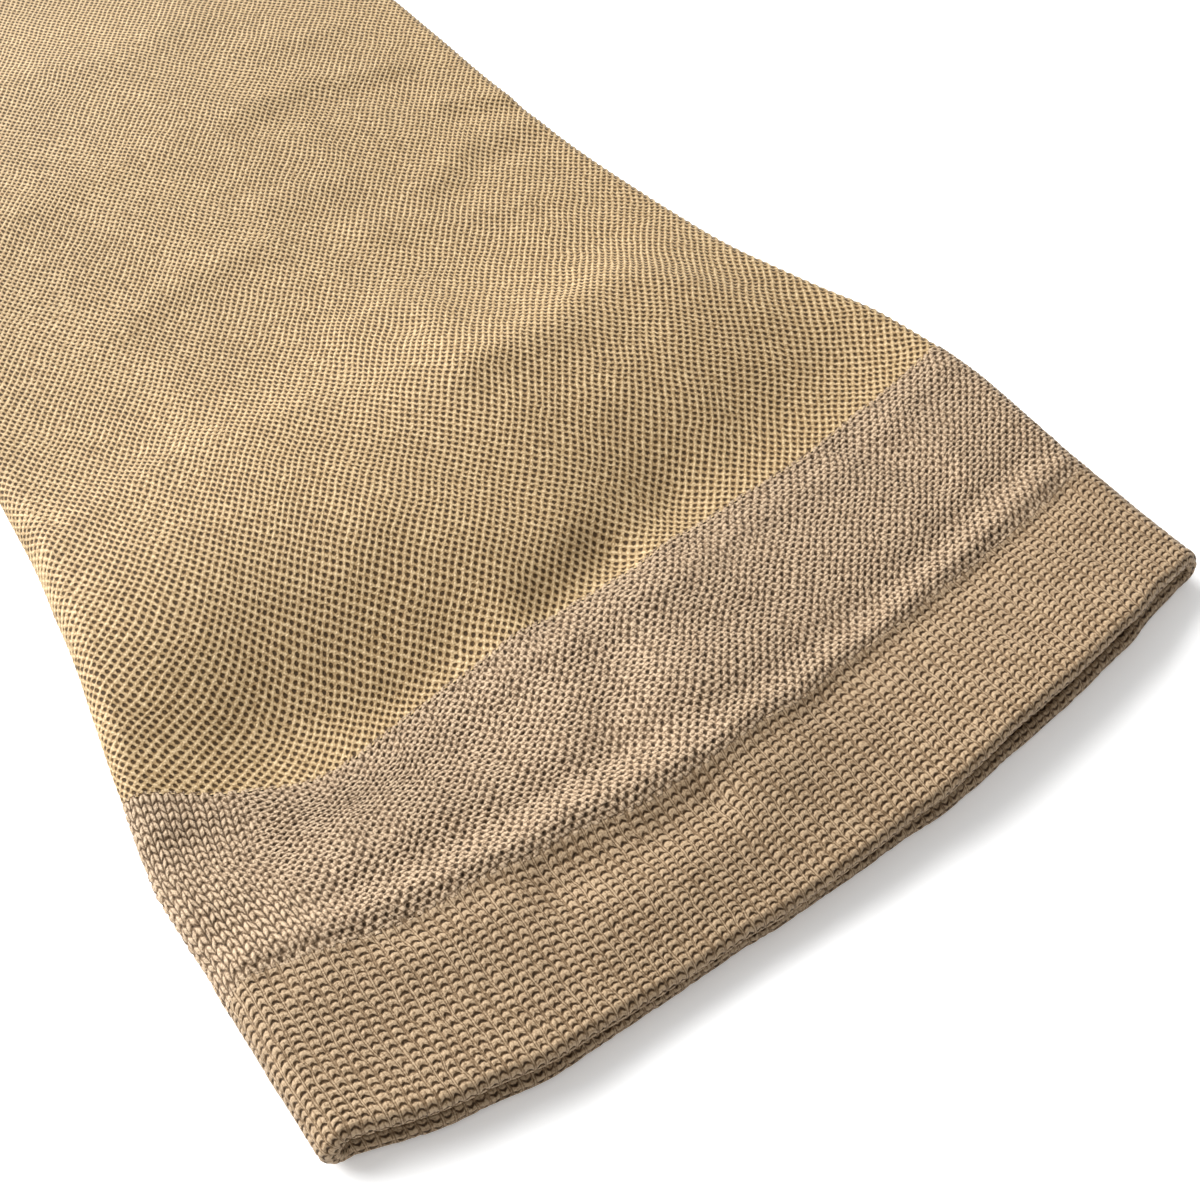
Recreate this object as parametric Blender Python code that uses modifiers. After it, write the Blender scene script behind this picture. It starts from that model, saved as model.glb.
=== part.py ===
"""Below-knee compression stocking, laid out flat on its side.

It is a seamless circular knit: a turned welt at the hem, a plain upper band, a net leg, a
heel turn, a foot and a closed toe.  Each one is a tube pressed flat, so its two panels lie
one on the other and its two sides are round folds.

+Y runs down the leg from the hem to the heel, +X is the shin side, where the toes point,
and Z is up from the surface that the stocking lies on.  Sizes are in millimetres until
MM turns them into metres.  The layout is drawn from the middle of the hem, and the parent
empty then centres the whole stocking on the origin.
"""

from collections import namedtuple
from math import cos, pi, radians, sin, sqrt

import bmesh
import bpy
import numpy as np

MM = 0.001

# Driving dimensions, in millimetres.
HEM_WIDTH = 128.5        # flat width of the hem, half of its girth
WELT_LENGTH = 23.0       # hem to the linking line of the turned welt
BAND_END = 49.0          # hem to the seam between the upper band and the net
LEG_END = 318.0          # hem to the ankle, where the heel turn starts
ANKLE_WIDTH = 72.0       # flat width at the ankle, the tightest place
FOOT_ANGLE = 15.0        # degrees that the foot opens beyond a right angle to the leg
FOOT_WIDTH = 78.0        # flat width of the foot
FOOT_LENGTH = 88.0       # start of the foot to the toe cap, along the instep
TOE_LENGTH = 36.0        # toe cap, up to its linked seam
TOE_ROUNDNESS = 0.9      # share of the outline's ellipse that the toe cap reaches
SEAM_GAP = 0.45          # along the tube between neighbouring pieces, 0.3 or so at the nearest

WELT_PLY = 1.0           # thickness of each of the welt's two plies
WELT_FOLD_GAP = 0.3      # clearance between the two plies
BAND_WALL = 1.5
LEG_WALL = 1.2
FOOT_WALL = 1.3

# Mesh resolution.
PANEL_STEPS = 14         # segments across a panel
FOLD_STEPS = 5           # segments round each side fold
NOSE_STEPS = 4           # segments round half of a rounded end
WELT_STEPS = 5           # segments along each piece
BAND_STEPS = 5
LEG_STEPS = 20
HEEL_STEPS = 10
FOOT_STEPS = 6
TOE_STEPS = 8

# One row for each section.  station is the distance from the hem along the middle of the
# tube; back and front are the plan points of the two side folds; bow is how far the middle
# of the section hangs towards the hem; fold is the height over a side fold, and crown the
# height over the middle.
Section = namedtuple("Section", "station back_x back_y front_x front_y bow fold crown")


def leg_section(station, back_x, front_x, bow, fold, crown):
    """A section straight across the leg, `station` from the hem."""
    return Section(station, back_x, station, front_x, station, bow, fold, crown)


BACK_OF_HEM = -65.0      # where the hem's back fold lies; its middle is near x = 0
FRONT_OF_ANKLE = 42.0    # where the shin side lies at the ankle
FOLD_HEIGHT = 5.0        # over the side folds of the leg and foot
BOW_SKEW = 0.25          # share by which a bow is deeper on the back side

LEG_SECTIONS = [
    leg_section(0.0, BACK_OF_HEM, BACK_OF_HEM + HEM_WIDTH, bow=7.5, fold=5.8, crown=6.0),
    leg_section(WELT_LENGTH, -63.4, 65.2, bow=8.0, fold=5.6, crown=6.4),
    leg_section(BAND_END, -60.4, 66.8, bow=7.0, fold=5.4, crown=5.8),
    leg_section(61.0, -57.8, 64.6, bow=6.5, fold=5.3, crown=6.2),
    leg_section(72.0, -55.0, 60.8, bow=6.0, fold=5.2, crown=6.3),
    leg_section(85.0, -52.6, 57.4, bow=5.5, fold=5.1, crown=6.3),
    leg_section(101.0, -51.0, 56.0, bow=5.0, fold=FOLD_HEIGHT, crown=6.2),
    leg_section(122.0, -49.6, 54.6, bow=5.0, fold=FOLD_HEIGHT, crown=6.1),
    leg_section(145.0, -48.0, 55.0, bow=4.5, fold=FOLD_HEIGHT, crown=6.1),
    leg_section(182.0, -45.0, 57.0, bow=4.0, fold=FOLD_HEIGHT, crown=6.1),
    leg_section(230.0, -39.0, 54.5, bow=2.5, fold=FOLD_HEIGHT, crown=6.0),
    leg_section(280.0, -32.0, 46.5, bow=1.0, fold=FOLD_HEIGHT, crown=5.9),
    leg_section(LEG_END, FRONT_OF_ANKLE - ANKLE_WIDTH, FRONT_OF_ANKLE, bow=0.0,
                fold=FOLD_HEIGHT, crown=5.9),
]

HEEL_SECTIONS = [
    Section(335.0, -37.0, 347.0, 43.5, 325.5, bow=0.0, fold=FOLD_HEIGHT, crown=6.0),
    Section(352.0, -34.0, 380.0, 46.0, 331.5, bow=0.0, fold=FOLD_HEIGHT, crown=6.1),
    Section(369.0, -8.0, 405.0, 50.0, 335.5, bow=0.0, fold=FOLD_HEIGHT, crown=6.1),
]

HEEL_END = 386.0                 # station where the foot starts
INSTEP_START = (57.0, 338.5)     # plan point where the instep leaves the heel turn


def foot_section(along, width, crown):
    """A section square across the foot, `along` from its start; the sole is the far fold."""
    forward = np.array([cos(radians(FOOT_ANGLE)), sin(radians(FOOT_ANGLE))])
    to_sole = np.array([-forward[1], forward[0]])
    middle = np.array(INSTEP_START) + forward * along + to_sole * FOOT_WIDTH / 2
    sole = middle + to_sole * width / 2
    instep = middle - to_sole * width / 2
    return Section(HEEL_END + along, *sole, *instep, bow=0.0, fold=FOLD_HEIGHT, crown=crown)


def toe_section(share):
    """A section of the toe cap, `share` of the way along it; its outline is an ellipse."""
    width = FOOT_WIDTH * sqrt(1 - (TOE_ROUNDNESS * share) ** 2)
    return foot_section(FOOT_LENGTH + TOE_LENGTH * share, width, crown=6.0 - 0.2 * share)


FOOT_SECTIONS = [
    foot_section(0.0, FOOT_WIDTH, crown=6.1),
    foot_section(0.5 * FOOT_LENGTH, FOOT_WIDTH - 2.0, crown=6.0),
]
TOE_SECTIONS = [toe_section(share) for share in (0.0, 0.35, 0.6, 0.8, 0.92, 1.0)]

SECTIONS = LEG_SECTIONS + HEEL_SECTIONS + FOOT_SECTIONS + TOE_SECTIONS
STATIONS = np.array([row.station for row in SECTIONS])
COLUMNS = {name: np.array([getattr(row, name) for row in SECTIONS]) for name in Section._fields}
SLOPES = {name: np.gradient(values, STATIONS) for name, values in COLUMNS.items()}


def section_at(station):
    """The section at any station, on a smooth cubic through the rows of the table."""
    row = int(np.clip(np.searchsorted(STATIONS, station) - 1, 0, len(STATIONS) - 2))
    length = STATIONS[row + 1] - STATIONS[row]
    t = (station - STATIONS[row]) / length
    start, start_slope = 2 * t**3 - 3 * t**2 + 1, t**3 - 2 * t**2 + t
    end, end_slope = 3 * t**2 - 2 * t**3, t**3 - t**2

    def value(name):
        ends = COLUMNS[name][row] * start + COLUMNS[name][row + 1] * end
        slopes = SLOPES[name][row] * start_slope + SLOPES[name][row + 1] * end_slope
        return float(ends + slopes * length)

    return Section(*(value(name) for name in Section._fields))


def ring(station, depth=0.0, advance=0.0, squeeze=1.0):
    """Points round one flattened section, in order from the back fold along the underside.

    depth is how far the points lie inside the outer surface.  advance moves them down the
    tube.  squeeze closes the two panels on each other at a closed end, whose outline is
    then rounded off, so that its middle advances the most.
    """
    row = section_at(station)
    back = np.array([row.back_x, row.back_y])
    front = np.array([row.front_x, row.front_y])
    width = np.linalg.norm(front - back)
    across = (front - back) / width
    along = np.array([-across[1], across[0]])
    middle = (back + front) / 2
    flat_half = width / 2 - row.fold / 2
    radius = row.fold / 2 - depth

    def top(share):
        return row.fold + (row.crown - row.fold) * (1 - share**2) ** 2

    profile = []
    for step in range(PANEL_STEPS + 1):
        share = 2 * step / PANEL_STEPS - 1
        profile.append((share, 0.0, depth))
    for step in range(1, FOLD_STEPS):
        angle = pi * step / FOLD_STEPS - pi / 2
        profile.append((1.0, radius * cos(angle), row.fold / 2 + radius * sin(angle)))
    for step in range(PANEL_STEPS + 1):
        share = 1 - 2 * step / PANEL_STEPS
        profile.append((share, 0.0, top(share) - depth))
    for step in range(1, FOLD_STEPS):
        angle = pi * step / FOLD_STEPS + pi / 2
        profile.append((-1.0, radius * cos(angle), row.fold / 2 + radius * sin(angle)))

    points = []
    for share, beyond, height in profile:
        plan = middle + across * (share * flat_half + beyond * squeeze)
        hang = row.bow * (1 - share**2) * (1 - BOW_SKEW * share)
        reach = advance if squeeze == 1.0 else advance * sqrt(1 - share**2)
        plan = plan + along * (reach - hang)
        level = top(share) / 2
        points.append((plan[0], plan[1], level + (height - level) * squeeze))
    return points


def span(first, last, count):
    """`count` + 1 stations from `first` to `last`, evenly spread."""
    return [first + (last - first) * step / count for step in range(count + 1)]


def tube_rings(first, last, count):
    """Rings of a plain stretch of tube."""
    return [ring(station) for station in span(first, last, count)]


def welt_rings():
    """Rings of the turned welt: down the outer ply, round the hem and up the inner ply."""
    doubled = 2 * WELT_PLY + WELT_FOLD_GAP
    nose = doubled / 2
    last = WELT_LENGTH - SEAM_GAP / 2
    rows = span(nose, last, WELT_STEPS)
    outer = [ring(station) for station in reversed(rows)]
    turn = []
    for step in range(1, 2 * NOSE_STEPS):
        angle = pi * step / (2 * NOSE_STEPS)
        turn.append(ring(nose, depth=nose * (1 - cos(angle)), advance=-nose * sin(angle)))
    inner = [ring(station, depth=doubled) for station in rows]
    return outer + turn + inner


def toe_rings():
    """Rings of the toe cap, whose last ones close the two panels on each other."""
    first = HEEL_END + FOOT_LENGTH + SEAM_GAP / 2
    last = HEEL_END + FOOT_LENGTH + TOE_LENGTH
    nose = section_at(last).fold / 2
    rings = tube_rings(first, last, TOE_STEPS)
    for step in range(1, NOSE_STEPS + 1):
        angle = pi / 2 * step / NOSE_STEPS
        rings.append(ring(last, advance=nose * sin(angle), squeeze=cos(angle)))
    return rings


def knit_material(name, colour, roughness):
    """A matt knit finish with a faint sheen."""
    material = bpy.data.materials.new(name)
    material.use_nodes = True
    shader = material.node_tree.nodes["Principled BSDF"]
    shader.inputs["Base Color"].default_value = (*colour, 1.0)
    shader.inputs["Roughness"].default_value = roughness
    shader.inputs["Metallic"].default_value = 0.0
    shader.inputs["Sheen Weight"].default_value = 0.2
    material.diffuse_color = (*colour, 1.0)
    return material


def knit_tube(name, rings, wall, material, parent, collection):
    """A cloth tube: a surface lofted through the rings, thickened inwards to its wall."""
    shape = bmesh.new()
    rows = [[shape.verts.new([MM * value for value in point]) for point in loop] for loop in rings]
    for lower, upper in zip(rows, rows[1:]):
        for near in range(len(lower)):
            far = (near + 1) % len(lower)
            shape.faces.new((lower[near], upper[near], upper[far], lower[far]))
    bmesh.ops.remove_doubles(shape, verts=shape.verts, dist=0.01 * MM)
    bmesh.ops.dissolve_degenerate(shape, edges=shape.edges, dist=0.01 * MM)
    bmesh.ops.recalc_face_normals(shape, faces=shape.faces)

    mesh = bpy.data.meshes.new(name)
    shape.to_mesh(mesh)
    shape.free()
    mesh.materials.append(material)
    mesh.shade_smooth()

    piece = bpy.data.objects.new(name, mesh)
    piece.parent = parent
    collection.objects.link(piece)
    thickness = piece.modifiers.new("wall", "SOLIDIFY")
    thickness.thickness = wall * MM
    thickness.offset = -1.0
    thickness.use_even_offset = True
    return piece


def centre_on_origin(parent, pieces):
    """Move the parent empty so that the stocking's plan box is centred on the origin."""
    points = np.array([vertex.co for piece in pieces for vertex in piece.data.vertices])
    centre = (points.min(axis=0) + points.max(axis=0)) / 2
    parent.location = (-centre[0], -centre[1], 0.0)


def clear_scene():
    """Start from an empty scene."""
    for old in list(bpy.data.objects):
        bpy.data.objects.remove(old, do_unlink=True)


def main():
    clear_scene()
    collection = bpy.data.collections.new("compression_stocking")
    bpy.context.scene.collection.children.link(collection)
    layout = bpy.data.objects.new("layout", None)
    collection.objects.link(layout)

    welt_knit = knit_material("welt_knit", (0.376, 0.275, 0.181), 0.80)
    band_knit = knit_material("band_knit", (0.407, 0.301, 0.195), 0.80)
    net_knit = knit_material("net_knit", (0.503, 0.356, 0.198), 0.75)
    foot_knit = knit_material("foot_knit", (0.445, 0.309, 0.168), 0.80)

    half_gap = SEAM_GAP / 2
    band = tube_rings(WELT_LENGTH + half_gap, BAND_END - half_gap, BAND_STEPS)
    leg = tube_rings(BAND_END + half_gap, LEG_END - half_gap, LEG_STEPS)
    heel = tube_rings(LEG_END + half_gap, HEEL_END - half_gap, HEEL_STEPS)
    foot = tube_rings(HEEL_END + half_gap, HEEL_END + FOOT_LENGTH - half_gap, FOOT_STEPS)
    plan = [
        ("turned_welt", welt_rings(), WELT_PLY, welt_knit),
        ("upper_band", band, BAND_WALL, band_knit),
        ("leg", leg, LEG_WALL, net_knit),
        ("heel", heel, FOOT_WALL, foot_knit),
        ("foot", foot, FOOT_WALL, foot_knit),
        ("toe", toe_rings(), FOOT_WALL, foot_knit),
    ]
    pieces = [knit_tube(*entry, layout, collection) for entry in plan]
    centre_on_origin(layout, pieces)


main()
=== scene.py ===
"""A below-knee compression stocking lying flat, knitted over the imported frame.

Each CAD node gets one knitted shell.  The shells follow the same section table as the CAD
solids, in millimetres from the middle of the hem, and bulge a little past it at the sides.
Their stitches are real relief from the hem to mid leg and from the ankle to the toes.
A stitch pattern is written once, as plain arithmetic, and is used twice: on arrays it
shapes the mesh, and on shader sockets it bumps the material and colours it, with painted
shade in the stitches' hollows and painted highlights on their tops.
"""

from collections import namedtuple
from math import cos, pi, radians, sin, sqrt

import bpy
import numpy as np
from mathutils import Matrix, Vector


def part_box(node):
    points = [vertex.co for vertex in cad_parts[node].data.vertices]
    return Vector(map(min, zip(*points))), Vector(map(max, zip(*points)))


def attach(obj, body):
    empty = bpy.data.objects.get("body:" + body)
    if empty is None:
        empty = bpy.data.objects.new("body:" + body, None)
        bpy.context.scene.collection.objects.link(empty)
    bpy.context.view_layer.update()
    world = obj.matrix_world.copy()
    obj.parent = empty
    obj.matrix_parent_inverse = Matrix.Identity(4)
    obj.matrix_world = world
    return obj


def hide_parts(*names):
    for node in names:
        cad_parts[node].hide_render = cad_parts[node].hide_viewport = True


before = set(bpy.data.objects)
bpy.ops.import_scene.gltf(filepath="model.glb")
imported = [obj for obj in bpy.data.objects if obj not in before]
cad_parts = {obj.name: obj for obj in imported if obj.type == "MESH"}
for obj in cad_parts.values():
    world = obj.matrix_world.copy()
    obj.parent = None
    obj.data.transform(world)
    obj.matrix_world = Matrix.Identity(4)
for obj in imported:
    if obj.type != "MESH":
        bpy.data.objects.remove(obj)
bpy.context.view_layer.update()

MM = 0.001

# ---------------------------------------------------------------- the stocking's layout, mm

HEM_WIDTH = 128.5
WELT_LENGTH = 23.0
WELT_TOP = 19.4          # where the lumps give way to the band's knots, on the linking line
BAND_END = 49.0
LEG_END = 318.0
HEEL_END = 386.0
ANKLE_WIDTH = 72.0
FOOT_ANGLE = 15.0
FOOT_WIDTH = 78.0
FOOT_LENGTH = 88.0
TOE_LENGTH = 36.0
TOE_ROUNDNESS = 0.9
BACK_OF_HEM = -65.0
FRONT_OF_ANKLE = 42.0
FOLD_HEIGHT = 5.0
BOW_SKEW = 0.25
INSTEP_START = np.array([57.0, 338.5])    # where the foot's instep side begins
WELT_DOUBLED = 2.3       # the welt's two plies and the gap between them
LOWEST_OF_HEM = -7.63    # where the CAD hem hangs lowest

# One row for each section: see section_columns for how a row becomes a ring.
Section = namedtuple("Section", "station back_x back_y front_x front_y bow fold crown")


def leg_section(station, back_x, front_x, bow, fold, crown):
    """A section straight across the leg, `station` from the hem."""
    return Section(station, back_x, station, front_x, station, bow, fold, crown)


def foot_section(along, width, crown):
    """A section square across the foot, `along` from its start; the sole is the far fold."""
    forward = np.array([cos(radians(FOOT_ANGLE)), sin(radians(FOOT_ANGLE))])
    to_sole = np.array([-forward[1], forward[0]])
    middle = INSTEP_START + forward * along + to_sole * FOOT_WIDTH / 2
    sole = middle + to_sole * width / 2
    instep = middle - to_sole * width / 2
    return Section(HEEL_END + along, *sole, *instep, bow=0.0, fold=FOLD_HEIGHT, crown=crown)


def toe_section(share):
    """A section of the toe cap, `share` of the way along it; its outline is an ellipse."""
    width = FOOT_WIDTH * sqrt(1 - (TOE_ROUNDNESS * share) ** 2)
    return foot_section(FOOT_LENGTH + TOE_LENGTH * share, width, crown=6.0 - 0.2 * share)


SECTIONS = [
    leg_section(0.0, BACK_OF_HEM, BACK_OF_HEM + HEM_WIDTH, bow=7.5, fold=5.8, crown=6.0),
    leg_section(WELT_LENGTH, -63.4, 65.2, bow=8.0, fold=5.6, crown=6.4),
    leg_section(BAND_END, -60.4, 66.8, bow=7.0, fold=5.4, crown=5.8),
    leg_section(61.0, -57.8, 64.6, bow=6.5, fold=5.3, crown=6.2),
    leg_section(72.0, -55.0, 60.8, bow=6.0, fold=5.2, crown=6.3),
    leg_section(85.0, -52.6, 57.4, bow=5.5, fold=5.1, crown=6.3),
    leg_section(101.0, -51.0, 56.0, bow=5.0, fold=FOLD_HEIGHT, crown=6.2),
    leg_section(122.0, -49.6, 54.6, bow=5.0, fold=FOLD_HEIGHT, crown=6.1),
    leg_section(145.0, -48.0, 55.0, bow=4.5, fold=FOLD_HEIGHT, crown=6.1),
    leg_section(182.0, -45.0, 57.0, bow=4.0, fold=FOLD_HEIGHT, crown=6.1),
    leg_section(230.0, -39.0, 54.5, bow=2.5, fold=FOLD_HEIGHT, crown=6.0),
    leg_section(280.0, -32.0, 46.5, bow=1.0, fold=FOLD_HEIGHT, crown=5.9),
    leg_section(LEG_END, FRONT_OF_ANKLE - ANKLE_WIDTH, FRONT_OF_ANKLE, bow=0.0,
                fold=FOLD_HEIGHT, crown=5.9),
    Section(335.0, -37.0, 347.0, 43.5, 325.5, bow=0.0, fold=FOLD_HEIGHT, crown=6.0),
    Section(352.0, -34.0, 380.0, 46.0, 331.5, bow=0.0, fold=FOLD_HEIGHT, crown=6.1),
    Section(369.0, -8.0, 405.0, 50.0, 335.5, bow=0.0, fold=FOLD_HEIGHT, crown=6.1),
    foot_section(0.0, FOOT_WIDTH, crown=6.1),
    foot_section(0.5 * FOOT_LENGTH, FOOT_WIDTH - 2.0, crown=6.0),
] + [toe_section(share) for share in (0.0, 0.35, 0.6, 0.8, 0.92, 1.0)]

STATIONS = np.array([row.station for row in SECTIONS])
COLUMNS = {name: np.array([getattr(row, name) for row in SECTIONS]) for name in Section._fields}
SLOPES = {name: np.gradient(values, STATIONS) for name, values in COLUMNS.items()}

# How far the sides bulge past the CAD's at a station, in mm.
Bulge = namedtuple("Bulge", "station back shin")

BULGES = [
    Bulge(0, 0.0, 0.0),
    Bulge(WELT_LENGTH, 0.8, 0.0),
    Bulge(36, 1.7, 0.3),
    Bulge(BAND_END, 1.0, 0.9),
    Bulge(61, 1.2, 1.7),
    Bulge(80, 2.0, 2.3),
    Bulge(101, 1.7, 1.8),
    Bulge(145, 1.4, 2.2),
    Bulge(182, 1.2, 1.9),
    Bulge(230, 0.9, 1.2),
    Bulge(LEG_END, 0.0, 0.0),
]

# The layout's origin in the world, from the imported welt.
WELT_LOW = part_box("turned_welt")[0]
ORIGIN = np.array([WELT_LOW.x / MM - BACK_OF_HEM, WELT_LOW.y / MM - LOWEST_OF_HEM, 0.0])

# ---------------------------------------------------------------- the knit, in stitches

WALES = 196              # stitches round the tube
CROWDING = 0.12          # how much closer the wales lie at the back fold than on average
WELT_COURSE = 0.95       # height of one course, mm
BAND_COURSE = 1.46
NET_COURSE = 1.38        # two rows of holes
FOOT_COURSE = 1.2

# ---------------------------------------------------------------- the mesh's rows, mm

WELT_ROW = WELT_COURSE / 4
INSIDE_FINE_END = 4.5    # inside the mouth the rows are fine as far as this from the hem's nose,
INSIDE_COARSE = 5.5      # and coarse from here on
INSIDE_ROW = 2.0
BAND_ROW = BAND_COURSE / 5.5
SEAM_LAP = 0.4           # how far the band runs over the welt and the net
NET_ROW = NET_COURSE / 2
FINE_NET_ROWS = 236      # how many rows there are before the coarse ones
COARSE_NET_ROW = 2.4
FOOT_ROW = 0.6
TOE_TURN_STEPS = 6
TOE_TURN_COURSE = 0.45   # courses to each step of the toe's turn
COARSEST_ROW = 0.75      # rows this many courses apart carry no stitches

# ---------------------------------------------------------------- relief and unevenness

LEVEL_SHAPE = 0.6        # the pattern's value where its relief is zero
UNEVEN_FINE = 0.30       # how much the relief varies from stitch to stitch on fine meshes,
UNEVEN_COARSE = 0.10     # and on coarse ones
OFF_FLOOR = 0.1          # how far each shell is lifted off the floor, mm
LOWEST_POINT = 0.02      # and no point of it lies lower than this
WANDER_ACROSS = 0.25     # how far the cloth strays in plan, mm
WANDER_ALONG = 0.35
NOISE_CELLS = 64         # the size of the random grids
NOISE_COURSES = 97
BAKE_MARGIN = 0.002      # the border of the bake's UV square

# ---------------------------------------------------------------- folds and drifts, mm

# A fold lifts or dents the cloth along a path in plan by `lift`, and fades over `reach`.
# `hem_reach` is its reach on the hem's side, where that differs.
Fold = namedtuple("Fold", "lift reach path hem_reach", defaults=(None,))

TOP_FOLDS = [
    # The linking line, a soft cord on a broad rise that slopes down to the hem.
    Fold(2.2, 20.0, [(-52, 19), (-40, 16), (-25, 14.5), (-6, 13)], hem_reach=12.0),
    Fold(0.4, 20.0, [(8, 14), (38, 18), (54, 20)], hem_reach=12.0),
    Fold(0.50, 1.7, [(-62, 21), (-51, 19), (-40, 17), (-25, 15.2), (-7, 12.7), (8, 13.3),
                     (19, 14.5), (38, 17.8), (61, 21.5)]),
    Fold(-0.35, 2.0, [(-50, 15), (-42, 13.4), (-30, 12), (-16, 9.5), (-8, 9), (8, 10),
                      (27, 12.5), (43, 15), (57, 17.5)]),
    Fold(-1.2, 3.4, [(-30, 9.5), (-21, 8), (-11, 7.5)]),
    Fold(-0.5, 3.2, [(-36, 21.5), (-30, 21), (-24, 20.5), (-16, 19), (-11, 18)]),
    Fold(-0.40, 2.4, [(-52, 23), (-40, 21.5), (-2, 17), (10, 17), (20, 18.5), (38, 21.5),
                      (56, 25)]),
    # The band's upper edge stands over the net, which is drawn in beside it.
    Fold(0.35, 2.4, [(-59, 43), (-51, 40.5), (-44, 36.5), (-35, 35.5), (-25, 36.5), (-14, 38),
                     (-8, 37)]),
    Fold(0.35, 2.4, [(-3, 35), (6, 36.5), (23, 39), (39, 39.5), (56, 44), (63, 46)]),
    Fold(-4.4, 12.0, [(-41, 46), (-30, 43)], hem_reach=22.0),
    Fold(-1.9, 10.0, [(20, 49), (32, 49), (42, 51), (50, 54)], hem_reach=13.0),
    Fold(-0.4, 3.6, [(-29, 43.5), (-18, 45)]),
    # The dimple at the seam, and the fold that runs from it down the band.
    Fold(-2.0, 4.2, [(-6, 43), (-1, 44), (4, 45.5)]),
    Fold(-0.7, 4.5, [(6, 47), (18, 49)]),
    Fold(-1.0, 4.0, [(-3, 35), (-8, 27), (-14, 21)]),
    Fold(0.5, 4.5, [(-6, 26), (-1, 24)]),
    Fold(-0.5, 4.5, [(3, 28), (13, 26)]),
    Fold(-0.8, 3.2, [(43, 41), (46, 30)]),
    Fold(-0.8, 5.5, [(-56, 39), (-51, 32)]),
    Fold(-0.35, 2.8, [(-62, 26), (-57, 26)]),
    Fold(0.5, 6.0, [(-44, 30), (-34, 29)]),
    # The net rises to a long soft ridge, and slopes down from it towards the seam.
    Fold(1.1, 16.0, [(-42, 86), (-28, 88), (-7, 86), (2, 85)], hem_reach=18.0),
    Fold(2.4, 16.0, [(-40, 74), (-28, 74)], hem_reach=18.0),
    Fold(0.35, 3.4, [(-52, 88), (-42, 91), (-28, 92), (-14, 90)]),
    Fold(3.2, 17.0, [(12, 80), (22, 79), (34, 80)], hem_reach=18.0),
    Fold(0.45, 3.8, [(8, 82), (22, 82), (32, 86), (41, 86), (46, 78), (50, 70)]),
    Fold(-0.35, 4.0, [(8, 75), (20, 73), (32, 75)]),
    Fold(1.3, 8.0, [(-16, 64), (-11, 58)]),
    # Small creases further up, most of them running in from the shin side.
    Fold(0.32, 3.4, [(17, 162), (29, 164), (43, 160)]),
    Fold(-0.25, 4.0, [(18, 156), (31, 157), (42, 153)]),
    Fold(0.28, 3.0, [(28, 180), (42, 176)]),
    Fold(0.22, 3.0, [(7, 136), (19, 135)]),
    Fold(0.25, 3.0, [(29, 126), (41, 132), (54, 132)]),
    Fold(-0.18, 3.2, [(31, 120), (41, 126), (53, 126)]),
    Fold(0.35, 2.6, [(45, 145), (55, 141)]),
    Fold(-0.25, 2.6, [(46, 140), (54, 136)]),
    Fold(0.30, 4.0, [(17, 120), (31, 115), (45, 111)]),
    Fold(0.35, 4.0, [(0, 100), (9, 102), (12, 96)]),
    Fold(0.25, 4.0, [(-17, 159), (1, 160)]),
    Fold(0.30, 4.0, [(37, 105), (48, 101), (50, 90)]),
    Fold(0.30, 3.6, [(-26, 122), (-10, 128), (2, 127)]),
    Fold(0.40, 6.0, [(-20, 196), (8, 190), (22, 194)]),
    Fold(0.35, 5.0, [(-38, 150), (-26, 158)]),
    # Beyond the close view the leg is calmer, and it creases again where the heel turns.
    Fold(0.4, 4.0, [(-30, 214), (-8, 222), (10, 220)]),
    Fold(-0.4, 4.0, [(8, 246), (26, 252), (44, 250)]),
    Fold(0.5, 3.5, [(12, 286), (28, 292), (40, 290)]),
    Fold(-0.7, 3.0, [(22, 312), (34, 320), (42, 322)]),
    Fold(0.7, 3.0, [(16, 322), (30, 330), (42, 333)]),
    Fold(-0.6, 3.5, [(6, 334), (24, 344), (44, 345)]),
    Fold(0.5, 4.0, [(70, 366), (96, 376), (120, 380)]),
    Fold(-0.4, 4.0, [(84, 390), (104, 398)]),
    # The mouth: pressed almost shut behind the middle, open towards the shin.
    Fold(-0.8, 9.0, [(-27, -8), (-12, -7)]),
    Fold(2.1, 14.0, [(24, -6), (46, -5)]),
]

UNDER_FOLDS = [
    Fold(0.9, 5.0, [(-48, 74), (-22, 80), (4, 76)]),
    Fold(0.8, 4.0, [(14, 92), (34, 88), (50, 94)]),
    Fold(0.6, 3.0, [(-36, 128), (-16, 134)]),
    Fold(0.6, 3.0, [(10, 150), (36, 146)]),
    Fold(0.5, 4.0, [(-28, 196), (0, 204), (20, 200)]),
    Fold(0.6, 4.0, [(2, 262), (26, 268)]),
    Fold(0.8, 3.5, [(4, 318), (28, 328), (42, 330)]),
    Fold(0.6, 4.0, [(70, 372), (100, 384)]),
    Fold(0.5, 3.0, [(-30, 30), (-8, 36)]),
    Fold(0.5, 3.0, [(20, 28), (44, 32)]),
]

# A drift slides the cloth along the leg by `shift` round x and station.  Its reach is
# `across` the leg, `before` the station on the hem's side and `after` it on the foot's side.
# A drift at station 0 moves both panels, and any other moves the top panel alone.
Drift = namedtuple("Drift", "x station across before after shift")

DRIFTS = [
    Drift(-50, 0, 17, 9, 9, -1.0),
    Drift(-42, 49, 14, 11, 42, -5.5),
    Drift(-31, 23, 12, 9, 9, 1.6),
    Drift(27, 23, 30, 9, 9, 1.1),
]
# These two move one panel each, and part the hems a little.
UPPER_HEM_DRIFT = Drift(-11, 0, 20, 9, 9, 0.8)
LOWER_HEM_DRIFT = Drift(-10, 0, 24, 9, 9, 1.4)


# ---------------------------------------------------------------- arithmetic for both uses


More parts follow.
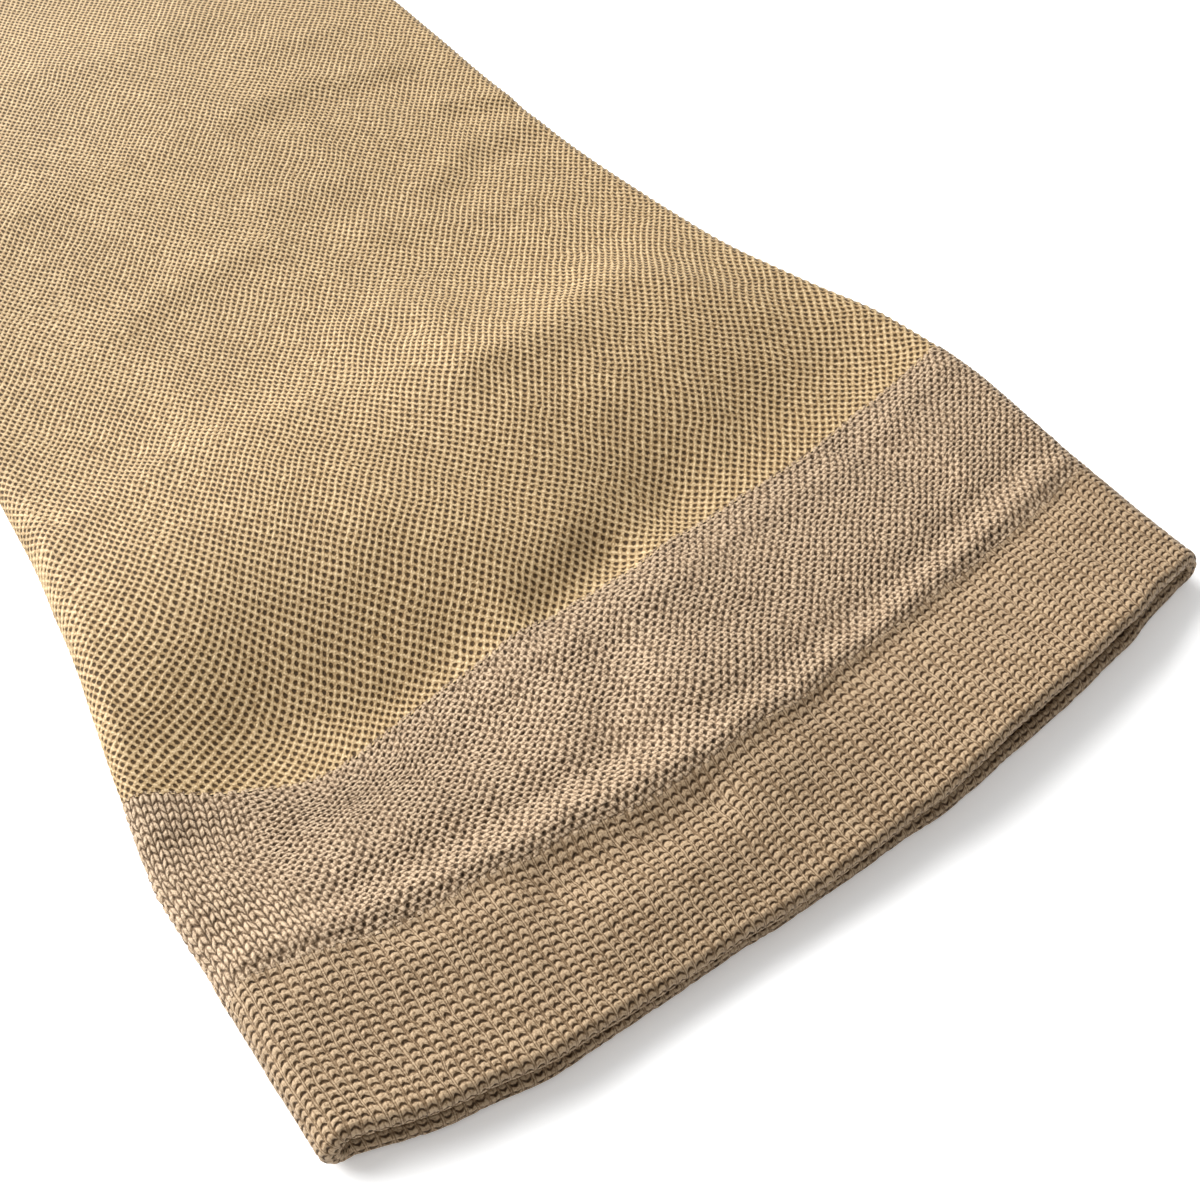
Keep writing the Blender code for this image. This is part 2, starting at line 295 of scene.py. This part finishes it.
class Wire:
    """A shader socket that takes part in ordinary arithmetic."""

    def __init__(self, tree, socket):
        self.tree = tree
        self.socket = socket

    def __add__(self, other):
        return calc("ADD", self, other)

    def __sub__(self, other):
        return calc("SUBTRACT", self, other)

    def __rsub__(self, other):
        return calc("SUBTRACT", other, self)

    def __mul__(self, other):
        return calc("MULTIPLY", self, other)

    def __truediv__(self, other):
        return calc("DIVIDE", self, other)

    __radd__ = __add__
    __rmul__ = __mul__


ARRAY_FORMS = {
    "COSINE": np.cos,
    "ABSOLUTE": np.abs,
    "MAXIMUM": np.maximum,
    "MINIMUM": np.minimum,
    "FLOOR": np.floor,
}


def calc(operation, *values):
    """One operation, on arrays or, as soon as one value is a Wire, as a Math node."""
    wires = [value for value in values if isinstance(value, Wire)]
    if not wires:
        return ARRAY_FORMS[operation](*values)
    tree = wires[0].tree
    node = tree.nodes.new("ShaderNodeMath")
    node.operation = operation
    for place, value in zip(node.inputs, values):
        if isinstance(value, Wire):
            tree.links.new(value.socket, place)
        else:
            place.default_value = float(value)
    return Wire(tree, node.outputs[0])


def ramp(low, high, value):
    """0 below low and 1 above high, smooth between them."""
    t = calc("MINIMUM", calc("MAXIMUM", (value - low) / (high - low), 0.0), 1.0)
    return t * t * (3.0 - 2.0 * t)


def to_nearest(value):
    """Distance to the nearest whole number, from 0 to 0.5."""
    return calc("ABSOLUTE", value - calc("FLOOR", value + 0.5))


# ---------------------------------------------------------------- stitch patterns, 0 to 1


def welt_pattern(u, v):
    """One plump lump to a stitch over a crescent hollow in painted shade, and a raised yarn
    between wales with a painted highlight on top.
    """
    beside = to_nearest(u)
    gap = to_nearest(v + 0.15 * calc("COSINE", 2 * pi * u))
    crescent = ramp(0.06, 0.26, beside) * (1.0 - ramp(0.03, 0.25, gap))
    lump = 1.0 - 0.88 * crescent
    lump = lump * (0.84 + 0.16 * ramp(0.0, 0.10, 0.5 - beside))
    lump = lump * (0.58 + 0.42 * ramp(0.08, 0.20, beside))
    fade = 0.86 + 0.14 * calc("COSINE", 0.93 * u + 0.61 * v)
    return calc("MAXIMUM", lump, fade * (1.0 - ramp(0.04, 0.12, beside)))


def stockinette(u, v):
    """Two plump ovals to a stitch, leaning together as a V, with sunken lines beside them in
    painted shade.
    """
    beside = to_nearest(u)
    middle = 0.52 + 0.48 * ramp(0.00, 0.13, beside)
    edge = 0.34 + 0.66 * ramp(0.00, 0.13, 0.5 - beside)
    ends = ramp(0.00, 0.26, to_nearest(v + 1.2 * beside))
    return middle * edge * (0.40 + 0.60 * ends)


def small_knots(u, v):
    """Plump knots with two sunken dashes to a stitch in painted shade, each second dash fainter.
    """
    rising, falling = to_nearest(u + v), to_nearest(u - v)
    dash = 1.0 - ramp(0.010, 0.170, rising * rising + 2.0 * falling * falling)
    depth = 0.82 + 0.15 * calc("COSINE", 2 * pi * u)
    rows = 1.0 - ramp(0.00, 0.26, to_nearest(2.0 * v - 0.25 * u))
    split = 1.0 - ramp(0.00, 0.18, to_nearest(2.0 * u + v + 0.5))
    return (1.0 - depth * dash) * (1.0 - 0.38 * rows - 0.34 * split)


def band_pattern(u, v):
    """V stitches near the back fold and in patches, and close knotted rows elsewhere."""
    from_back = calc("MINIMUM", u, WALES - u)
    patches = calc("COSINE", 0.17 * u + 0.31 * v) * calc("COSINE", 0.23 * v - 0.11 * u)
    knots = 0.95 * ramp(2.0, 14.0, from_back + 5.0 * patches) - 0.30 * ramp(0.3, 1.0, patches)
    return stockinette(u, v) * (1.0 - knots) + small_knots(u, v) * knots


def net_pattern(u, v):
    """Rounded holes in painted shade, each second row half a wale over, with threads crossing
    between them.
    """
    rising, falling = to_nearest(u + v), to_nearest(u - v)
    open_mesh = ramp(0.025, 0.140, rising * rising + falling * falling)
    lean = 0.25 * calc("COSINE", 0.21 * u + 0.13 * v)
    rising_thread = ramp(0.26, 0.49, rising)
    falling_thread = ramp(0.26, 0.49, falling)
    threads = calc("MAXIMUM", (0.75 + lean) * rising_thread, (0.75 - lean) * falling_thread)
    # The crossings stand highest: the yarn is a little thicker there and carries a painted
    # highlight.
    return open_mesh * (0.64 + 0.13 * threads + 0.25 * rising_thread * falling_thread)


def foot_pattern(u, v):
    """A plain close stocking stitch."""
    return 0.25 + 0.75 * stockinette(u, v)


# ---------------------------------------------------------------- the form


def section_columns(stations):
    """The table's columns at each station, on the CAD's own smooth cubic."""
    row = np.clip(np.searchsorted(STATIONS, stations) - 1, 0, len(STATIONS) - 2)
    length = STATIONS[row + 1] - STATIONS[row]
    t = (stations - STATIONS[row]) / length
    start, start_slope = 2 * t**3 - 3 * t**2 + 1, t**3 - 2 * t**2 + t
    end, end_slope = 3 * t**2 - 2 * t**3, t**3 - t**2

    def column(name):
        values, slopes = COLUMNS[name], SLOPES[name]
        ends = values[row] * start + values[row + 1] * end
        return ends + length * (slopes[row] * start_slope + slopes[row + 1] * end_slope)

    return {name: column(name) for name in Section._fields}


def soft_hills(grid, gx, gy):
    """Heights at gx, gy, smooth between the grid's own, which repeat past its edges."""
    x0, y0 = np.floor(gx).astype(int), np.floor(gy).astype(int)
    fx, fy = gx - x0, gy - y0
    fx, fy = fx * fx * (3 - 2 * fx), fy * fy * (3 - 2 * fy)

    def knot(i, j):
        return grid[(x0 + i) % grid.shape[0], (y0 + j) % grid.shape[1]]

    near = knot(0, 0) * (1 - fx) + knot(1, 0) * fx
    far = knot(0, 1) * (1 - fx) + knot(1, 1) * fx
    return near * (1 - fy) + far * fy


def smooth_noise(x, y, size, seed):
    """Soft random hills of about `size`, between -1 and 1, the same on every run."""
    grid = np.random.default_rng(seed).uniform(-1, 1, (NOISE_CELLS, NOISE_CELLS))
    return soft_hills(grid, x / size, y / size)


def stitch_noise(u, v, across, along, seed):
    """Soft random hills in stitch units, which meet themselves after a full turn."""
    count = round(WALES / across)
    grid = np.random.default_rng(seed).uniform(-1, 1, (count, NOISE_COURSES))
    return soft_hills(grid, u * count / WALES, v / along)


def fold_height(x, y, folds):
    """The sum of the folds at plan points x, y."""
    height = np.zeros_like(x)
    for fold in folds:
        path = np.array(fold.path, float)
        nearest = np.full_like(x, 1e9)
        hem_share = np.full_like(x, 0.5)
        for start, end in zip(path, path[1:]):
            run = end - start
            t = ((x - start[0]) * run[0] + (y - start[1]) * run[1]) / (run @ run)
            t = np.clip(t, 0.0, 1.0)
            gap = np.hypot(x - start[0] - t * run[0], y - start[1] - t * run[1])
            towards_hem = (start[1] + t * run[1] - y) / np.maximum(gap, 1e-6)
            hem_share = np.where(gap < nearest, 0.5 + 0.5 * towards_hem, hem_share)
            nearest = np.minimum(nearest, gap)
        hem_reach = fold.hem_reach or fold.reach
        reach = fold.reach + (hem_reach - fold.reach) * hem_share
        height += fold.lift * np.exp(-((nearest / reach) ** 2))
    return height


def drift_shift(x, station, drift):
    """How far one drift slides the cloth there."""
    across = ((x - drift.x) / drift.across) ** 2
    reach = np.where(station < drift.station, drift.before, drift.after)
    along = ((station - drift.station) / reach) ** 2
    return drift.shift * np.exp(-across - along)


# One row of a shell: where it lies on the tube, and its place in the knit.
Row = namedtuple("Row", "station course depth advance squeeze", defaults=(0.0, 0.0, 1.0))


def tube_form(rows, around):
    """Points of a shell, rows by columns, with the plain form and its folds but no stitches.

    `around` holds each column's share of the way round the tube, by length: from the back
    fold, over the top to the front fold at a half, and back along the underside.
    """
    station = np.array([row.station for row in rows])
    depth = np.array([row.depth for row in rows])[:, None]
    advance = np.array([row.advance for row in rows])[:, None]
    squeeze = np.array([row.squeeze for row in rows])[:, None]
    table = {name: values[:, None] for name, values in section_columns(station).items()}
    places, backs, shins = zip(*BULGES)
    table["back_x"] = table["back_x"] - np.interp(station, places, backs)[:, None]
    table["front_x"] = table["front_x"] + np.interp(station, places, shins)[:, None]

    back = np.stack([table["back_x"], table["back_y"]], -1)
    front = np.stack([table["front_x"], table["front_y"]], -1)
    width = np.linalg.norm(front - back, axis=-1)
    across = (front - back) / width[..., None]
    along = np.stack([-across[..., 1], across[..., 0]], -1)
    radius = table["fold"] / 2
    flat = width - table["fold"]
    quarter = pi * radius / 2
    at = around[None] * (2 * flat + 4 * quarter)

    bounds = [quarter, quarter + flat, 3 * quarter + flat, 3 * quarter + 2 * flat]
    rising, on_top, turning, under = [at < bound for bound in bounds]
    zones = [rising, on_top, turning, under]
    share = np.select(zones, [-1.0, 2 * (at - bounds[0]) / flat - 1, 1.0,
                              1 - 2 * (at - bounds[2]) / flat], -1.0)
    share = np.broadcast_to(share, at.shape)
    turn = np.select(zones, [at / radius - pi / 2, 0.0, (at - bounds[1]) / radius, pi],
                     pi + (at - bounds[3]) / radius)
    normal_across, normal_up = np.sin(turn), np.cos(turn)

    hump = (table["crown"] - table["fold"]) * (1 - share**2) ** 2
    level = (table["fold"] + hump) / 2
    reach = radius - depth
    beyond = np.where(np.abs(share) >= 1, reach * normal_across, 0.0) * squeeze
    height = radius + reach * normal_up + np.where(normal_up >= 1, hump, 0.0)
    height = level + (height - level) * squeeze

    hang = table["bow"] * (1 - share**2) * (1 - BOW_SKEW * share)
    rounded = np.sqrt(np.clip(1 - share**2, 0, 1))
    ahead = np.where(squeeze < 1, advance * rounded, advance) - hang
    middle = (back + front) / 2
    offset = share * flat / 2 + beyond
    plan = middle + across * offset[..., None] + along * ahead[..., None]

    x, y = plan[..., 0], plan[..., 1]
    top = np.clip(normal_up, 0, 1)
    stations = np.broadcast_to(station[:, None], x.shape)
    for drift in DRIFTS:
        spread = 1.0 if drift.station == 0 else top
        y = y + drift_shift(x, stations, drift) * spread
    y = y + drift_shift(x, stations, UPPER_HEM_DRIFT) * top
    y = y + drift_shift(x, stations, LOWER_HEM_DRIFT) * np.clip(-normal_up, 0, 1)
    height = height + fold_height(x, y, TOP_FOLDS) * top * squeeze
    height = height + fold_height(x, y, UNDER_FOLDS) * np.clip(-normal_up, 0, 1) * squeeze
    x = x + WANDER_ACROSS * smooth_noise(x, y, size=9.0, seed=3) * np.abs(normal_up)
    y = y + WANDER_ALONG * smooth_noise(x, y, size=6.0, seed=4) * np.abs(normal_up)
    return np.stack([x, y, height], -1)


def outward_normals(points):
    """Unit normals of a closed-round grid of points, facing out of the tube."""
    round_it = np.roll(points, -1, axis=1) - np.roll(points, 1, axis=1)
    down_it = np.gradient(points, axis=0)
    normals = np.cross(round_it, down_it)
    return normals / np.maximum(np.linalg.norm(normals, axis=-1, keepdims=True), 1e-9)


# ---------------------------------------------------------------- shells


def columns_around(over, under):
    """The columns of a shell: `over` of them on the top panel and `under` on the lower one.

    Each is its share of the way round, counted in stitches from the back fold.
    """
    return np.concatenate([np.arange(over) / over, 1 + np.arange(under) / under]) / 2


def crowded(counted):
    """The share of the length round the tube where a share of the stitches is reached."""
    length = np.linspace(0.0, 1.0, num=2001)
    stitches = length + CROWDING / (2 * pi) * np.sin(2 * pi * length)
    return np.interp(counted, stitches, length)


def close_share(rows, fade):
    """1 where rows lie close enough to carry stitches, falling to 0 over about `fade` rows."""
    close = np.abs(np.gradient([row.course for row in rows])) < COARSEST_ROW
    window = 2 * fade + 1
    nearby = np.convolve(np.pad(close, fade, mode="edge"), np.ones(window) / window, "valid")
    return np.clip(2 * nearby - 1, 0, 1)


def knit_shell(name, rows, around, pattern, relief, jitter, material, fade=20, closed=False):
    """One knitted piece: its stitches are raised by `relief` mm and stray by `jitter` stitches.

    Where rows lie too far apart to carry stitches, the material alone draws them.  With two
    columns to a stitch or fewer the relief keeps to the even lattice, to show fewer blotches.
    A closed piece ends with its two panels joined, and has as many columns over as under.
    """
    form = tube_form(rows, crowded(around))
    columns = len(around)
    u = np.broadcast_to(around * WALES, (len(rows), columns))
    v = np.broadcast_to(np.array([row.course for row in rows])[:, None], u.shape)
    stray_u = jitter * stitch_noise(u, v, across=1.3, along=1.7, seed=5)
    stray_v = jitter * (stitch_noise(u, v, across=1.1, along=1.3, seed=6)
                        + stitch_noise(u, v, across=5, along=7, seed=8))
    fine = columns > 2 * WALES
    unevenness = UNEVEN_FINE if fine else UNEVEN_COARSE
    uneven = 1.0 + unevenness * stitch_noise(u, v, across=1.2, along=1.2, seed=7)
    shape = pattern(u + stray_u, v + stray_v) if fine else pattern(u, v)
    raised = relief * close_share(rows, fade)[:, None] * uneven * (shape - LEVEL_SHAPE)
    points = form + outward_normals(form) * raised[..., None]
    points[..., 2] = np.maximum(points[..., 2] + OFF_FLOOR, LOWEST_POINT)

    grid = np.arange(len(rows) * columns).reshape(len(rows), columns)
    points = ((points + ORIGIN) * MM).reshape(-1, 3)
    if closed:
        half = columns // 2
        grid[-1, half + 1:] = grid[-1, 1:half][::-1]
        points = points[:1 - half]
    near, far = grid[:-1], grid[1:]
    quads = np.stack([near, np.roll(near, -1, 1), np.roll(far, -1, 1), far], -1).reshape(-1, 4)
    mesh = bpy.data.meshes.new(name)
    mesh.from_pydata(points, [], quads)
    mesh.update()

    def at_corners(values, step=0.0):
        """A value at each quad's corners; `step` is added where the tube's last column ends."""
        ahead = np.roll(values, -1, axis=1)
        ahead[:, -1] += step
        return np.stack([values[:-1], ahead[:-1], ahead[1:], values[1:]], -1)

    corner_u, corner_v = at_corners(u, WALES), at_corners(v)
    stitches = mesh.uv_layers.new(name="stitches")
    strayed = [at_corners(u + stray_u, WALES), at_corners(v + stray_v)]
    stitches.uv.foreach_set("vector", np.stack(strayed, -1).ravel())
    unrolled = mesh.uv_layers.new(name="OFBake")
    low, high = rows[0].course, rows[-1].course
    spread = np.stack([corner_u / WALES, (corner_v - low) / (high - low)], -1)
    inset = BAKE_MARGIN + (1 - 2 * BAKE_MARGIN) * spread
    unrolled.uv.foreach_set("vector", inset.ravel())

    mesh.shade_smooth()
    mesh.materials.append(material)
    piece = bpy.data.objects.new(name, mesh)
    bpy.context.scene.collection.objects.link(piece)
    return piece


def even_rows(first, last, spacing, course, first_course=0.0):
    """Rows about `spacing` apart from station first to last; `course` is a stitch's height."""
    count = max(2, round((last - first) / spacing))
    stations = np.linspace(first, last, count + 1)
    return [Row(s, first_course + (s - first) / course) for s in stations]


def welt_rows():
    """Down the outer ply from the linking line, round the hem and up inside."""
    nose = WELT_DOUBLED / 2
    count = round((WELT_TOP - nose) / WELT_ROW)
    rows = [Row(nose + WELT_ROW * i, i * WELT_ROW / WELT_COURSE) for i in range(count, 0, -1)]
    turn_steps = round(pi * nose / WELT_ROW)
    for i in range(turn_steps + 1):
        angle = pi * i / turn_steps
        rows.append(Row(nose, -angle * nose / WELT_COURSE,
                        nose * (1 - cos(angle)), -nose * sin(angle)))
    turned = pi * nose
    fine = np.arange(WELT_ROW, INSIDE_FINE_END, WELT_ROW)
    coarse = np.arange(INSIDE_COARSE, WELT_LENGTH - nose, INSIDE_ROW)
    for inside in [*fine, *coarse]:
        rows.append(Row(nose + inside, -(turned + inside) / WELT_COURSE, WELT_DOUBLED))
    return rows[::-1]


def leg_rows():
    """Fine rows, one to each row of holes, and then coarser ones towards the ankle."""
    fine_end = BAND_END + FINE_NET_ROWS * NET_ROW
    fine = even_rows(BAND_END, fine_end, NET_ROW, NET_COURSE)
    far = even_rows(fine_end, LEG_END, COARSE_NET_ROW, NET_COURSE, fine[-1].course)
    return fine + far[1:]


def toe_rows():
    """The toe cap, closed at its end by pressing the two panels together."""
    first = HEEL_END + FOOT_LENGTH
    last = first + TOE_LENGTH
    rows = even_rows(first, last, FOOT_ROW, FOOT_COURSE)
    nose = FOLD_HEIGHT / 2
    for i in range(1, TOE_TURN_STEPS + 1):
        angle = pi / 2 * i / TOE_TURN_STEPS
        course = rows[-1].course + TOE_TURN_COURSE
        rows.append(Row(last, course, 0.0, nose * sin(angle), cos(angle)))
    return rows


# ---------------------------------------------------------------- materials


YARN_GLOSS = (1.0, 0.86, 0.66, 1.0)
FIBRE_SCALE = 3600       # how fine each unevenness of the yarn is, in features to the metre
YARN_SCALE = 1300
PATCH_SCALE = 240
SWATH_SCALE = 45
YARN_TONE = 0.45         # how far the yarn's own unevenness shifts the colour
MOTTLE = 0.16            # how much patches and swaths lighten or darken it
HOLLOW_ROUGHNESS = 0.74
TOP_SHINE = 0.24         # how much less rough the tops of the stitches are


def linear(*srgb):
    """An 0-255 sRGB colour as the linear values that shaders use."""
    channels = [value / 255 for value in srgb]
    bright = [c / 12.92 if c <= 0.04045 else ((c + 0.055) / 1.055) ** 2.4 for c in channels]
    return (*bright, 1.0)


def knit_material(name, pattern, stops, bump, fuzz):
    """A matt knit: the pattern picks the colour between its stops and bumps the surface.

    The low stops are painted shade in the stitches' hollows and the net's holes, and the top
    stop is a painted highlight on the stitches' tops.
    `fuzz` is the unevenness of the fibres, as a share of a stitch's height; in the colour its
    peaks are painted glints.
    """
    material = bpy.data.materials.new(name)
    material.use_nodes = True
    tree = material.node_tree
    nodes, links = tree.nodes, tree.links
    shader = nodes["Principled BSDF"]

    stitches = nodes.new("ShaderNodeUVMap")
    stitches.uv_map = "stitches"
    apart = nodes.new("ShaderNodeSeparateXYZ")
    links.new(stitches.outputs[0], apart.inputs[0])
    u, v = Wire(tree, apart.outputs[0]), Wire(tree, apart.outputs[1])
    place = nodes.new("ShaderNodeTexCoord")

    def noise(scale, detail):
        """Soft noise about 0, `scale` features to the metre."""
        texture = nodes.new("ShaderNodeTexNoise")
        texture.inputs["Scale"].default_value = scale
        texture.inputs["Detail"].default_value = detail
        links.new(place.outputs["Object"], texture.inputs["Vector"])
        return Wire(tree, texture.outputs["Fac"]) - 0.5

    shape = pattern(u, v)
    height = shape + fuzz * noise(FIBRE_SCALE, 2)

    # The colour follows the height: painted shade in the hollows and holes, painted highlights
    # and glints on the tops.
    colours = nodes.new("ShaderNodeValToRGB")
    ramp_stops = colours.color_ramp.elements
    while len(ramp_stops) < len(stops):
        ramp_stops.new(0.5)
    for element, (position, colour) in zip(ramp_stops, stops):
        element.position = position
        element.color = linear(*colour)
    links.new((height + YARN_TONE * noise(YARN_SCALE, 1)).socket, colours.inputs[0])

    shade = 1.0 + MOTTLE * noise(SWATH_SCALE, 2) + MOTTLE * noise(PATCH_SCALE, 2)
    tint = nodes.new("ShaderNodeVectorMath")
    tint.operation = "SCALE"
    links.new(colours.outputs[0], tint.inputs[0])
    links.new(shade.socket, tint.inputs["Scale"])
    links.new(tint.outputs[0], shader.inputs["Base Color"])

    roughness = HOLLOW_ROUGHNESS - TOP_SHINE * shape
    links.new(roughness.socket, shader.inputs["Roughness"])
    shader.inputs["Specular IOR Level"].default_value = 0.35
    shader.inputs["Specular Tint"].default_value = YARN_GLOSS
    shader.inputs["Sheen Weight"].default_value = 0.08
    shader.inputs["Sheen Roughness"].default_value = 0.5
    shader.inputs["Sheen Tint"].default_value = YARN_GLOSS
    bumps = nodes.new("ShaderNodeBump")
    bumps.inputs["Strength"].default_value = 0.8
    bumps.inputs["Distance"].default_value = bump * MM
    links.new(height.socket, bumps.inputs["Height"])
    links.new(bumps.outputs[0], shader.inputs["Normal"])
    return material


def plain_material(name, colour, roughness, glow):
    """The floor's even finish; `glow` keeps its shadows pale, as on an overlit backdrop."""
    material = bpy.data.materials.new(name)
    material.use_nodes = True
    shader = material.node_tree.nodes["Principled BSDF"]
    shader.inputs["Base Color"].default_value = linear(*colour)
    shader.inputs["Roughness"].default_value = roughness
    shader.inputs["Emission Color"].default_value = (1.0, 1.0, 1.0, 1.0)
    shader.inputs["Emission Strength"].default_value = glow
    return material


# ---------------------------------------------------------------- the stocking

# In each set of stops the darkest colours are painted shade for hollows and holes, and the
# lightest a painted highlight.
WELT_KNIT = knit_material("welt_knit", welt_pattern, bump=0.16, fuzz=1.1, stops=[
    (0.00, (40, 24, 10)), (0.35, (80, 58, 36)), (0.75, (130, 106, 79)),
    (1.0, (172, 148, 119))])
BAND_KNIT = knit_material("band_knit", band_pattern, bump=0.20, fuzz=1.1, stops=[
    (0.00, (38, 24, 11)), (0.35, (80, 60, 41)), (0.75, (132, 109, 85)),
    (1.0, (184, 161, 134))])
NET_KNIT = knit_material("net_knit", net_pattern, bump=0.20, fuzz=0.9, stops=[
    (0.00, (50, 32, 9)), (0.30, (98, 71, 34)), (0.65, (158, 131, 92)),
    (1.0, (212, 187, 147))])
FOOT_KNIT = knit_material("foot_knit", foot_pattern, bump=0.20, fuzz=1.2, stops=[
    (0.15, (82, 58, 31)), (0.50, (124, 98, 63)), (0.80, (147, 120, 84)),
    (1.0, (171, 145, 108))])

FINE = columns_around(over=568, under=228)
HOLES = columns_around(over=WALES, under=WALES // 2)    # two to a wale on top, one underneath
EVEN = columns_around(over=WALES, under=WALES)


def plain_shell(name, rows, closed=False):
    """A shell in the plain stitch of the foot, which the photo does not show."""
    return knit_shell(name, rows, EVEN, foot_pattern, relief=0.18, jitter=0.10,
                      material=FOOT_KNIT, closed=closed)


BAND_ROWS = even_rows(WELT_TOP - SEAM_LAP, BAND_END + SEAM_LAP, BAND_ROW, BAND_COURSE)
HEEL_ROWS = even_rows(LEG_END, HEEL_END, FOOT_ROW, FOOT_COURSE)
FOOT_ROWS = even_rows(HEEL_END, HEEL_END + FOOT_LENGTH, FOOT_ROW, FOOT_COURSE)

SHELLS = {
    "turned_welt": knit_shell("welt_shell", welt_rows(), FINE, welt_pattern, relief=0.24,
                              jitter=0.15, material=WELT_KNIT),
    "upper_band": knit_shell("band_shell", BAND_ROWS, FINE, band_pattern, relief=0.38,
                             jitter=0.13, material=BAND_KNIT),
    "leg": knit_shell("leg_shell", leg_rows(), HOLES, net_pattern, relief=0.22,
                      jitter=0.10, material=NET_KNIT, fade=80),
    "heel": plain_shell("heel_shell", HEEL_ROWS),
    "foot": plain_shell("foot_shell", FOOT_ROWS),
    "toe": plain_shell("toe_shell", toe_rows(), closed=True),
}

for node, piece in SHELLS.items():
    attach(piece, "root")
    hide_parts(node)

# ---------------------------------------------------------------- floor, light and camera

bpy.ops.mesh.primitive_plane_add(size=6.0, location=(0, 0, 0))
floor = bpy.context.object
floor.name = "floor"
floor.data.materials.append(plain_material("floor_white", (246, 246, 246), roughness=0.9,
                                          glow=0.24))


def soft_light(name, direction, distance, size, power, aim=(-0.03, -0.12, 0.0)):
    """A square light of `size`, `distance` from what it is aimed at."""
    data = bpy.data.lights.new(name, "AREA")
    data.size = size
    data.energy = power
    light = bpy.data.objects.new(name, data)
    towards = Vector(direction).normalized()
    light.location = Vector(aim) + towards * distance
    light.rotation_euler = towards.to_track_quat("Z", "Y").to_euler()
    bpy.context.scene.collection.objects.link(light)


soft_light("window", (-0.40, 0.82, 0.60), distance=1.7, size=1.9, power=96)
soft_light("overhead", (0.0, 0.1, 1.0), distance=1.8, size=1.6, power=6)

world = bpy.data.worlds.new("studio")
world.use_nodes = True
world.node_tree.nodes["Background"].inputs["Color"].default_value = (1.0, 1.0, 1.0, 1.0)
world.node_tree.nodes["Background"].inputs["Strength"].default_value = 0.34
bpy.context.scene.world = world
bpy.context.scene.view_settings.view_transform = "Standard"

# The camera matches the photo's perspective; its place is in mm from the hem's middle.
camera_data = bpy.data.cameras.new("camera")
camera_data.lens = 50.0
camera_data.sensor_width = 36.0
camera_data.clip_start = 0.01
camera = bpy.data.objects.new("camera", camera_data)
look = Vector((0.405, 0.533, -0.743)).normalized()
right = Vector((0.7965, -0.6046, 0.0)).normalized()
up = right.cross(look)
turn = Matrix((right, up, -look)).transposed()
eye = (np.array([-84.1, -69.1, 157.0]) + ORIGIN) * MM
camera.matrix_world = Matrix.Translation(eye) @ turn.to_4x4()
bpy.context.scene.collection.objects.link(camera)
bpy.context.scene.camera = camera
